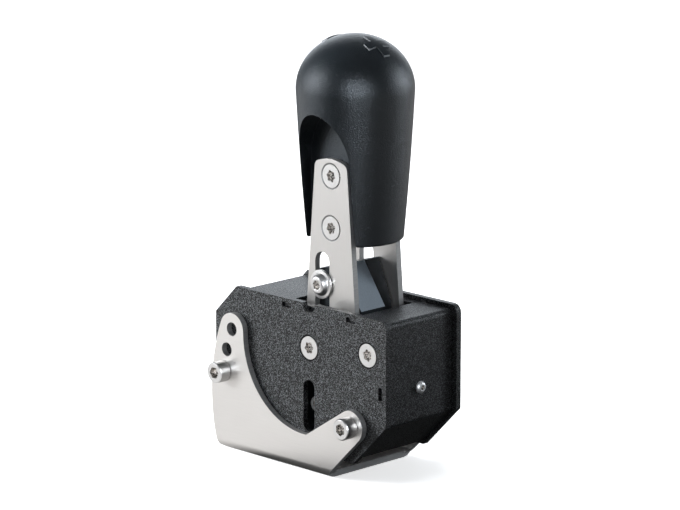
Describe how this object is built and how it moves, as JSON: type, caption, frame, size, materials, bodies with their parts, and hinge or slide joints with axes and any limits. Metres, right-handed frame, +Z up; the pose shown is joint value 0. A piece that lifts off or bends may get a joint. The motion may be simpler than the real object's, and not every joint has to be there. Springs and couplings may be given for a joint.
{
  "type": "sim racing gear shifter",
  "caption": "Sequential gear shifter: tall bulb knob on two slotted steel arms that pivot between black side plates, on a folded steel bracket with a row of tilt holes.",
  "frame": {"origin": "on the underside of the bracket, straight below the lever's pivot and midway between the side plates", "axes": "+X along the side plates to the end with the cover screw, +Y along the lever's pivot, +Z up along the lever at rest"},
  "size_m": [0.112, 0.0682, 0.202],
  "materials": {
    "powder_coat": "fine-textured black powder coat on sheet steel",
    "brushed_stainless": "satin stainless sheet, laser-cut edges",
    "screw_steel": "bright turned stainless",
    "black_steel": "blackened steel",
    "black_anodised": "black anodised, satin",
    "knob_plastic": "satin black moulded plastic with a soft sheen",
    "magnet_nickel": "bright nickel plate",
    "stop_rubber": "matt black rubber",
    "circuit_board": "green solder mask",
    "chip_plastic": "black moulded package"
  },
  "bodies": {
    "housing": {"bracket": "brushed_stainless", "cover_hood": "powder_coat", "cover_base": "powder_coat", "side_plate_near": "powder_coat", "side_plate_far": "powder_coat", "lower_front_tie": "screw_steel", "rear_tie": "screw_steel", "upper_front_tie": "screw_steel", "pivot_shaft": "screw_steel", "pivot_spacer_near": "black_steel", "pivot_spacer_far": "black_steel", "front_bolt_near": "screw_steel", "front_bolt_far": "screw_steel", "rear_bolt_near": "screw_steel", "rear_bolt_far": "screw_steel", "pivot_screw_near": "screw_steel", "pivot_screw_far": "screw_steel", "tie_screw_near": "screw_steel", "tie_screw_far": "screw_steel", "cover_screw": "screw_steel", "cover_nut": "screw_steel", "magnet_cradle": "black_anodised", "cradle_magnet_rear": "magnet_nickel", "cradle_magnet_front": "magnet_nickel", "travel_stop_rear": "stop_rubber", "travel_stop_front": "stop_rubber", "cradle_screw_rear": "screw_steel", "cradle_screw_front": "screw_steel", "sensor_board": "circuit_board", "usb_socket": "screw_steel", "hall_sensor": "chip_plastic", "board_standoff_rear": "screw_steel", "board_standoff_front": "screw_steel", "board_screw_rear": "screw_steel", "board_screw_front": "screw_steel"},
    "lever": {"lever_core": "black_anodised", "pivot_bearing_near": "screw_steel", "pivot_bearing_far": "screw_steel", "clamp_screw_near": "screw_steel", "clamp_screw_far": "screw_steel", "sensor_magnet": "magnet_nickel"},
    "grip": {"knob": "knob_plastic", "lever_arm_near": "brushed_stainless", "lever_arm_far": "brushed_stainless", "lower_arm_screw_near": "screw_steel", "lower_arm_screw_far": "screw_steel", "upper_arm_screw_near": "screw_steel", "upper_arm_screw_far": "screw_steel"},
    "force_block": {"force_block": "black_anodised", "force_screw_near": "screw_steel", "force_screw_far": "screw_steel", "block_magnet_rear": "magnet_nickel", "block_magnet_front": "magnet_nickel"}
  },
  "joints": [
    {"name": "shift", "type": "hinge", "parent": "housing", "child": "lever", "pos_m": [0, 0, 0.0585], "axis": [0, 1, 0], "range_deg": [-9, 9], "stiffness_Nm_per_rad": 23},
    {"name": "grip_height", "type": "slide", "parent": "lever", "child": "grip", "axis": [0, 0, 1], "range_m": [-0.006, 0.006]},
    {"name": "force_adjust", "type": "slide", "parent": "lever", "child": "force_block", "axis": [0, 0, 1], "range_m": [-0.004, 0.004]}
  ]
}
